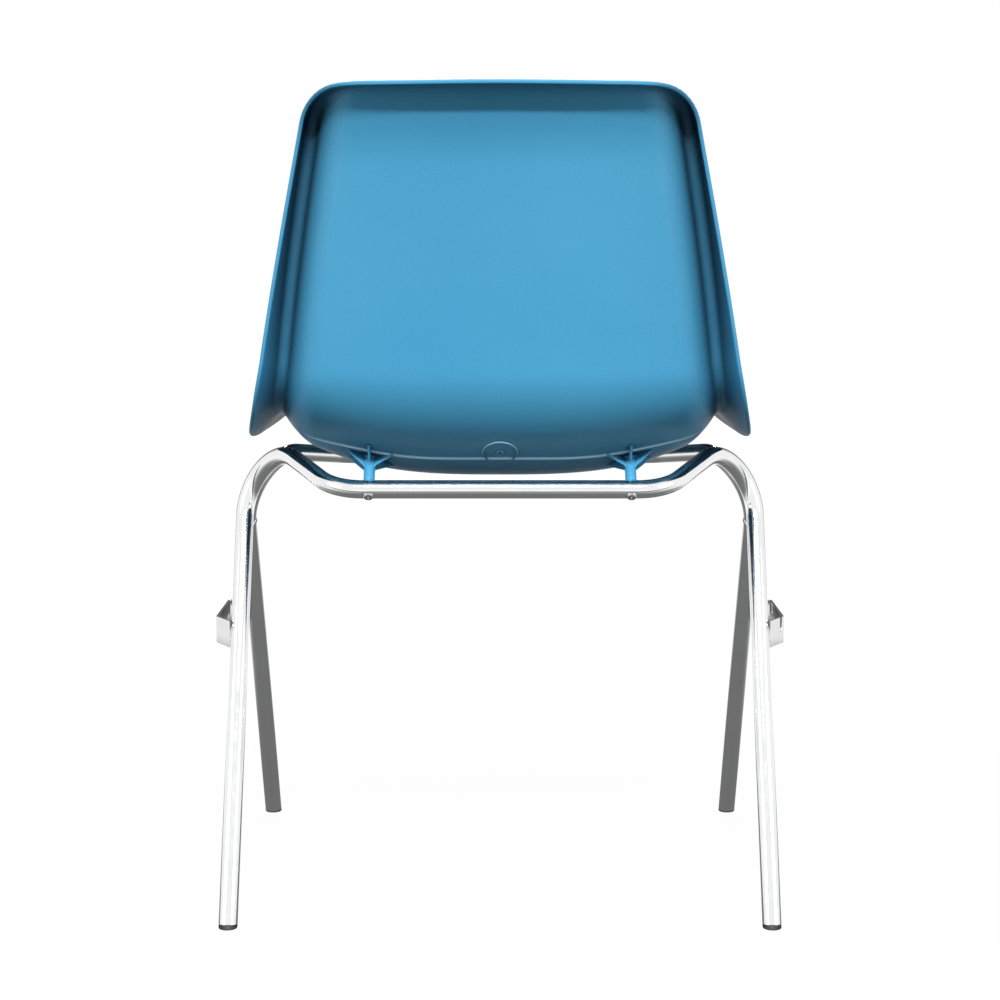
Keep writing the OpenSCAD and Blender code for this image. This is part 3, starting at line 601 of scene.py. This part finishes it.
STRIP_T, STRIP_H, STRIP_Z = 2.5, 27.0, 247.0
STRIP_BEND = 4.25
STRIP_PLAN = [np.array(p) for p in ((269.25, 73.41), (284.75, 45.41), (284.75, -56.57),
                                    (269.25, -84.57))]
SLOT_W, SLOT_DEPTH = 4.0, 15.0


def strip_line(spare=3.5):
    """Middle line of the strip in plan with its direction: straights and two arcs."""
    parts, ways = [], []
    start = STRIP_PLAN[0] - unit(STRIP_PLAN[1] - STRIP_PLAN[0]) * spare
    for k in (1, 2):
        before = unit(STRIP_PLAN[k] - STRIP_PLAN[k - 1])
        after = unit(STRIP_PLAN[k + 1] - STRIP_PLAN[k])
        turn = math.acos(before @ after)
        side = math.copysign(1, before[0] * after[1] - before[1] * after[0])
        cut = STRIP_BEND * math.tan(turn / 2)
        arc_start = STRIP_PLAN[k] - before * cut
        count = 70
        parts.append(mix(start, arc_start, np.linspace(0, 1, count, endpoint=False)[:, None]))
        ways.append(np.repeat(before[None], count, 0))
        inward = side * np.array([-before[1], before[0]])
        centre = arc_start + inward * STRIP_BEND
        w = np.linspace(0, turn, 13)[:-1, None]
        parts.append(centre - inward * STRIP_BEND * np.cos(w) + before * STRIP_BEND * np.sin(w))
        ways.append(before * np.cos(w) + inward * np.sin(w))
        start = STRIP_PLAN[k] + after * cut
    end = STRIP_PLAN[3] + after * spare
    parts.append(mix(start, end, np.linspace(0, 1, 70)[:, None]))
    ways.append(np.repeat(after[None], 70, 0))
    return np.concatenate(parts), np.concatenate(ways)


def add_strip(pieces, mirrored, slotted):
    """The strip's section, a rectangle with rounded corners, carried along its line; in
    a slot the upper edge drops to the slot's round bottom."""
    line, way = strip_line()
    aside = np.stack([-way[:, 1], way[:, 0]], -1)
    low, high = np.full(len(line), STRIP_Z), np.full(len(line), STRIP_Z + STRIP_H)
    if slotted:
        for corner, other in ((1, 0), (2, 3)):
            leads = unit(STRIP_PLAN[other] - STRIP_PLAN[corner])
            middle = STRIP_PLAN[corner] + leads * (SLOT_W / 2 + STRIP_T + 3)
            apart = (line - middle) @ leads
            bottom = STRIP_Z + STRIP_H - SLOT_DEPTH + SLOT_W / 2
            inside = np.abs(apart) < SLOT_W / 2
            curve = bottom - np.sqrt(np.clip((SLOT_W / 2) ** 2 - apart ** 2, 0, None))
            high = np.where(inside, curve, high)
    soft = 0.5
    turn = np.radians([0, 30, 60, 90])
    u = np.concatenate([STRIP_T / 2 - soft + soft * np.sin(turn),
                        STRIP_T / 2 - soft + soft * np.cos(turn),
                        -STRIP_T / 2 + soft - soft * np.sin(turn),
                        -STRIP_T / 2 + soft - soft * np.cos(turn)])
    at_low = np.array([1] * 4 + [0] * 8 + [1] * 4)
    lift = np.concatenate([soft - soft * np.cos(turn), -soft + soft * np.sin(turn),
                           -soft + soft * np.cos(turn), soft - soft * np.sin(turn)])
    z = np.where(at_low, low[:, None], high[:, None]) + lift
    xy = line[:, None] + u[None, :, None] * aside[:, None]
    points = np.concatenate([xy, z[..., None]], -1)
    if mirrored:
        points = points * [-1, 1, 1]
    add_capped(pieces, points)


# Arch welds: a rippled bead along the groove between the tubes

WELD_AT = np.array([252.491, 0.0, 396.651])
WELD_OUT = unit([0.879, 0.0, 0.477])


def add_weld(pieces, mirrored):
    """A round bead whose radius swells and sinks with its ripples and fades at its ends."""
    run = np.cross([0, 1.0, 0], WELD_OUT)
    along = np.linspace(-1, 1, 90)
    ang = np.linspace(0, 2 * math.pi, 32, endpoint=False)
    ripple = 1 + 0.05 * np.sin(along * 30 + 0.8 * np.sin(along * 5))
    radius = 3.9 * ripple * np.sqrt(np.clip(1 - np.abs(along) ** 5, 0.01, 1))
    middle = WELD_AT + WELD_OUT * TUBE_R * 0.62 + along[:, None] * run * 11
    spoke = np.cos(ang)[:, None] * WELD_OUT + np.sin(ang)[:, None] * np.array([0, 1.0, 0])
    points = middle[:, None] + radius[:, None, None] * spoke
    if mirrored:
        points = points * [-1, 1, 1]
    add_capped(pieces, points)


# Materials

class Tree:
    """Nodes of a material or a world, added and linked. A term is a number or an output."""

    def __init__(self, owner):
        owner.use_nodes = True
        self.nodes = owner.node_tree.nodes
        self.links = owner.node_tree.links

    def output(self, kind, name):
        return self.nodes.new("ShaderNode" + kind).outputs[name]

    def spread(self, value, low, high, start=0.3, end=0.7, curve="LINEAR"):
        node = self.nodes.new("ShaderNodeMapRange")
        node.interpolation_type = curve
        for name, number in (("From Min", start), ("From Max", end), ("To Min", low), ("To Max", high)):
            node.inputs[name].default_value = number
        self.links.new(value, node.inputs["Value"])
        return node.outputs["Result"]

    def blend(self, share, low, high):
        node = self.nodes.new("ShaderNodeMix")
        node.data_type = "RGBA"
        colours = [s for s in node.inputs if s.type == "RGBA"]
        for socket, colour in zip(colours, (low, high)):
            if isinstance(colour, tuple):
                socket.default_value = (*colour, 1)
            else:
                self.links.new(colour, socket)
        self.links.new(share, node.inputs["Factor"])
        return [s for s in node.outputs if s.type == "RGBA"][0]

    def reckon(self, operation, *terms):
        node = self.nodes.new("ShaderNodeMath")
        node.operation = operation
        for socket, term in zip(node.inputs, terms):
            if isinstance(term, (int, float)):
                socket.default_value = term
            else:
                self.links.new(term, socket)
        return node.outputs[0]

    def parts(self, place):
        node = self.nodes.new("ShaderNodeSeparateXYZ")
        self.links.new(place, node.inputs[0])
        return node.outputs


class Finish(Tree):
    """A material with its shader's sockets set or fed by name."""

    def __init__(self, name):
        self.material = bpy.data.materials.new(name)
        super().__init__(self.material)
        self.shader = self.nodes["Principled BSDF"]
        self.place = self.output("TexCoord", "Object")

    def set(self, **values):
        for name, value in values.items():
            self.shader.inputs[name.replace("_", " ")].default_value = value

    def feed(self, name, value):
        self.links.new(value, self.shader.inputs[name])

    def noise(self, scale, detail=3, rough=0.5):
        node = self.nodes.new("ShaderNodeTexNoise")
        node.inputs["Scale"].default_value = scale
        node.inputs["Detail"].default_value = detail
        node.inputs["Roughness"].default_value = rough
        self.links.new(self.place, node.inputs["Vector"])
        return node.outputs["Fac"]

    def openness(self, reach):
        """Share of the sky over a place that nothing within reach covers."""
        node = self.nodes.new("ShaderNodeAmbientOcclusion")
        node.samples = 12
        node.inputs["Distance"].default_value = reach
        return node.outputs["AO"]

    def worn(self):
        """How far the mesh is painted pale as a highlight at a place."""
        node = self.nodes.new("ShaderNodeAttribute")
        node.attribute_name = "worn"
        return node.outputs["Fac"]

    def bump(self, heights):
        """Bumps one on another: each is (height output, strength, distance in metres)."""
        last = None
        for height, strength, distance in heights:
            node = self.nodes.new("ShaderNodeBump")
            node.inputs["Strength"].default_value = strength
            node.inputs["Distance"].default_value = distance
            self.links.new(height, node.inputs["Height"])
            if last:
                self.links.new(last, node.inputs["Normal"])
            last = node.outputs["Normal"]
        self.feed("Normal", last)


def shell_plastic(name, painted_shade_depth):
    """Satin polypropylene: fine spark grain, slow changes of tone, soft gloss, painted shade that
    darkens it, by the given share, where the shell itself covers the sky within 8 cm, and a painted
    highlight that makes it paler on the step's edge and the gate ring."""
    f = Finish(name)
    flow = f.spread(f.noise(5, 3, 0.5), 0, 1)
    tone = f.blend(flow, (0.064, 0.365, 0.635), (0.075, 0.40, 0.675))
    speck = f.spread(f.noise(900, 2), 0, 1, 0.35, 0.65)
    face = f.blend(f.spread(speck, 0, 0.22, 0, 1), tone, (0.14, 0.52, 0.82))
    # Painted shade: the colour fades to near black where nearby parts of the shell cover the sky, in
    # its hollows, gutters and corners
    open_sky = f.spread(f.openness(0.08), 1 - painted_shade_depth, 1, 0.35, 0.95)
    shaded = f.blend(open_sky, (0.006, 0.017, 0.034), face)
    # Painted highlight: paler on the step's edge and the gate ring, by the mesh's highlight share
    f.feed("Base Color", f.blend(f.worn(), shaded, (0.53, 0.84, 0.97)))
    f.feed("Roughness", f.spread(f.noise(60, 4), 0.40, 0.47))
    f.set(IOR=1.49, Specular_IOR_Level=0.35)
    f.bump([(f.noise(1400, 3, 0.6), 0.25, 0.0001), (f.noise(14, 2), 0.15, 0.002)])
    return f.material


def chrome(name, tint=(0.88, 0.885, 0.89), rough=(0.03, 0.09), wave=0.05):
    """Bright plating over drawn steel: faint hazing, long polishing waves, fine pits."""
    f = Finish(name)
    haze = f.noise(28, 4, 0.6)
    f.feed("Base Color", f.blend(f.spread(haze, 0, 1, 0.35, 0.7), tint,
                                 tuple(0.95 * c for c in tint)))
    f.set(Metallic=1.0)
    f.feed("Roughness", f.spread(f.noise(90, 5, 0.65), *rough))
    f.bump([(f.noise(35, 2), wave, 0.002), (f.noise(1500, 2), 0.03, 0.0001)])
    return f.material


def plug_plastic():
    """Dark grey moulded plastic, scuffed a little by floors."""
    f = Finish("plug plastic")
    scuff = f.spread(f.noise(180, 5, 0.7), 0, 1, 0.5, 0.72)
    f.feed("Base Color", f.blend(scuff, (0.010, 0.010, 0.016), (0.040, 0.040, 0.055)))
    f.feed("Roughness", f.spread(f.noise(120, 3), 0.45, 0.62))
    f.bump([(f.noise(900, 3), 0.3, 0.0001)])
    return f.material


def weld_metal():
    """Plated weld: bright with dull ripples."""
    f = Finish("weld metal")
    f.feed("Base Color", f.blend(f.spread(f.noise(220, 4), 0, 1), (0.72, 0.73, 0.74),
                                 (0.50, 0.50, 0.50)))
    f.set(Metallic=1.0)
    f.feed("Roughness", f.spread(f.noise(400, 3), 0.15, 0.32))
    f.bump([(f.noise(500, 3), 0.25, 0.0004)])
    return f.material


def screw_steel():
    """Zinc plated steel with faint turning marks."""
    f = Finish("screw steel")
    f.feed("Base Color", f.blend(f.spread(f.noise(300, 3), 0, 1), (0.68, 0.68, 0.66),
                                 (0.56, 0.57, 0.57)))
    f.set(Metallic=1.0)
    f.feed("Roughness", f.spread(f.noise(700, 3), 0.16, 0.28))
    f.bump([(f.noise(1800, 2), 0.1, 0.0001)])
    return f.material


plastic = shell_plastic("shell plastic", 1)
boss_plastic = shell_plastic("boss plastic", 0.35)
tube_chrome = chrome("frame chrome")
strip_chrome = chrome("bracket chrome", (0.76, 0.76, 0.77), (0.06, 0.14), 0.2)
rubber = plug_plastic()
bead_metal = weld_metal()
steel = screw_steel()

# The object
skin = Pieces()
add_skin(skin)
add_gate_ring(skin)
to_object(skin, "bucket_shell", plastic, "shell", 40)
stands = Pieces()
for line in (REAR_LINE, FRONT_LINE):
    for side in (-1, 1):
        over = np.array([side * SCREW_X, line[2][1], line[2][2]])
        add_boss(stands, over)
        for k in range(6):
            add_rib(stands, over, math.radians(90 + 60 * k))
to_object(stands, "shell_bosses", boss_plastic, "shell", 40)

for name, line, side in (("rear", REAR_LINE, 1), ("front", FRONT_LINE, -1)):
    tube = Pieces()
    add_tube(tube, line, side)
    to_object(tube, name + "_tube", tube_chrome, name + "_frame_tube")
    for hand, mirrored in (("left", False), ("right", True)):
        plug = Pieces()
        add_plug(plug, [tuple(np.array(p) * [-1 if mirrored else 1, 1, 1]) for p in line], side)
        node = "foot_plug_" + name + "_" + hand
        to_object(plug, node.replace("foot_plug", "foot"), rubber, node)

for hand, mirrored in (("left", False), ("right", True)):
    strip = Pieces()
    add_strip(strip, mirrored, mirrored)
    to_object(strip, "link_strip_" + hand, strip_chrome, "link_bracket_" + hand)
    bead = Pieces()
    add_weld(bead, mirrored)
    to_object(bead, "weld_bead_" + hand, bead_metal, "arch_weld_" + hand, 60)

for name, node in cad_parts.items():
    if name.startswith("screw_"):
        for place in node.material_slots:
            place.material = steel


# Floor, backdrop and light

def pale_floor():
    """A level sheet that looks white to the camera, its glow a little weaker near the chair so that the
    chair's real shadow shows there. In the metal its glow is a painted shadow, grey under the chair and
    white farther off, with a dull band across it between the chair and the camera."""
    f = Finish("pale floor")
    f.set(Base_Color=(0.016, 0.016, 0.016, 1), Roughness=0.9, Specular_IOR_Level=0.1)
    away = f.nodes.new("ShaderNodeVectorMath")
    away.operation = "LENGTH"
    f.links.new(f.place, away.inputs[0])
    distance = away.outputs["Value"]
    path = f.nodes.new("ShaderNodeLightPath").outputs
    seen = f.spread(distance, 0.95, 1.02, 0.3, 1.6, "SMOOTHSTEP")
    camera_part = f.reckon("MULTIPLY", path["Is Camera Ray"], seen)
    # Painted shadow for the metal: the floor's glow in reflections is grey under the chair and full
    # farther off
    shine = f.spread(distance, 0.15, 1, 0.4, 1.5, "SMOOTHSTEP")
    in_band = f.reckon("COMPARE", f.parts(f.place)["Y"], 1.1, 0.24)
    dulled = f.reckon("MULTIPLY", shine, f.spread(in_band, 1, 0.06, 0, 1))
    strength = f.reckon("MULTIPLY_ADD", path["Is Glossy Ray"], dulled, camera_part)
    glow = f.nodes.new("ShaderNodeEmission")
    f.links.new(strength, glow.inputs["Strength"])
    both = f.nodes.new("ShaderNodeAddShader")
    f.links.new(f.shader.outputs[0], both.inputs[0])
    f.links.new(glow.outputs[0], both.inputs[1])
    f.links.new(both.outputs[0], f.nodes["Material Output"].inputs["Surface"])
    return f.material


floor_mesh = bpy.data.meshes.new("floor")
SIZE = 9.0
floor_mesh.from_pydata([(-SIZE, -SIZE, 0), (SIZE, -SIZE, 0), (SIZE, SIZE, 0), (-SIZE, SIZE, 0)],
                       [], [(0, 1, 2, 3)])
floor_mesh.materials.append(pale_floor())
floor = bpy.data.objects.new("floor", floor_mesh)
bpy.context.scene.collection.objects.link(floor)


def studio_world():
    """White to the camera. The metal also sees white, but for a warm grey patch straight
    behind the chair and a dark one overhead. The plastic is lit by a low even level."""
    world = bpy.data.worlds.new("studio")
    bpy.context.scene.world = world
    tree = Tree(world)
    toward = tree.parts(tree.output("TexCoord", "Generated"))
    path = tree.nodes.new("ShaderNodeLightPath").outputs
    past_patch = tree.spread(toward["Y"], 0, 1, -0.9, -0.5, "SMOOTHSTEP")
    around = tree.blend(past_patch, (0.16, 0.135, 0.125), (1, 1, 1))
    overhead = tree.spread(toward["Z"], 0, 1, 0.86, 0.93, "SMOOTHSTEP")
    capped = tree.blend(overhead, around, (0.012, 0.022, 0.03))
    reflected = tree.blend(path["Is Glossy Ray"], (0.012, 0.012, 0.012), capped)
    clear = tree.reckon("MAXIMUM", path["Is Camera Ray"], path["Is Transmission Ray"])
    background = tree.nodes["Background"]
    tree.links.new(tree.blend(clear, reflected, (1, 1, 1)), background.inputs["Color"])
    background.inputs["Strength"].default_value = 1.0


studio_world()


def soft_light(name, place, target, size, power, colour=(1, 1, 1)):
    """A rectangular lamp at place that faces target."""
    lamp = bpy.data.lights.new(name, "AREA")
    lamp.shape = "RECTANGLE"
    lamp.size, lamp.size_y = size
    lamp.energy = power
    lamp.color = colour
    holder = bpy.data.objects.new(name, lamp)
    holder.location = place
    holder.rotation_euler = (Vector(target) - Vector(place)).to_track_quat("-Z", "Y").to_euler()
    bpy.context.scene.collection.objects.link(holder)


for side in (-1, 1):
    soft_light("side light", (side * 1.65, 1.15, 1.0), (0, 0.2, 0.55), (0.9, 0.9), 9.3)
soft_light("key light", (0, 1.8, 2.15), (0, 2.37, 1.328), (1.4, 0.8), 378)
soft_light("front light", (0, -2.0, 2.1), (0, 0, 0.5), (1.6, 0.9), 57)

view_from = bpy.data.cameras.new("photo view")
view_from.lens = 85.356
view_from.sensor_width = 36
camera = bpy.data.objects.new("photo view", view_from)
camera.location = (0, 2.41911, 0.659)
camera.rotation_euler = (math.radians(90 - 6.47), 0, math.pi)
bpy.context.scene.collection.objects.link(camera)
bpy.context.scene.camera = camera
bpy.context.scene.view_settings.view_transform = "Standard"
